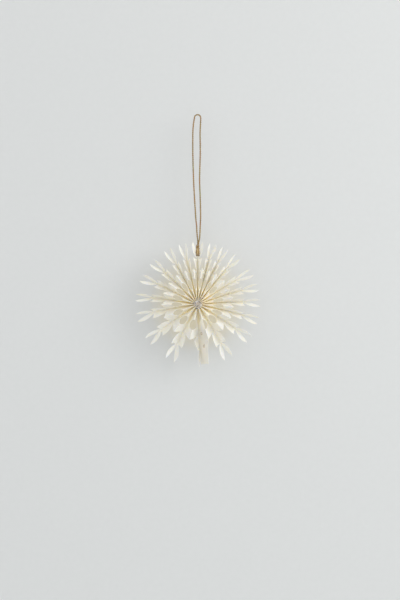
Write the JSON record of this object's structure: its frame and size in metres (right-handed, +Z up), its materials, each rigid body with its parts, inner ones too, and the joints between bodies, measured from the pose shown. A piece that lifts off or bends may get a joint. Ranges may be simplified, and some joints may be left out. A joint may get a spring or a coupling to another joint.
{
  "type": "paper snowflake decoration",
  "caption": "Pleated, cut-paper snowflake about 150 mm across, bound with wire at its centre and hung from a loop of natural twine.",
  "frame": {"origin": "inside top of the twine loop, where it bears on its nail or hook", "axes": "+Z up, +X to the right seen from the front, -Y towards the front, so the wall is on the +Y side"},
  "size_m": [0.1495, 0.0232, 0.3031],
  "materials": {
    "paper": "matt natural cotton paper",
    "wire": "galvanised wire",
    "twine": "two-ply jute twine"
  },
  "bodies": {
    "root": {"paper_star": "paper", "binding_wire": "wire", "hanging_cord": "twine", "cord_knot": "twine"}
  },
  "joints": []
}
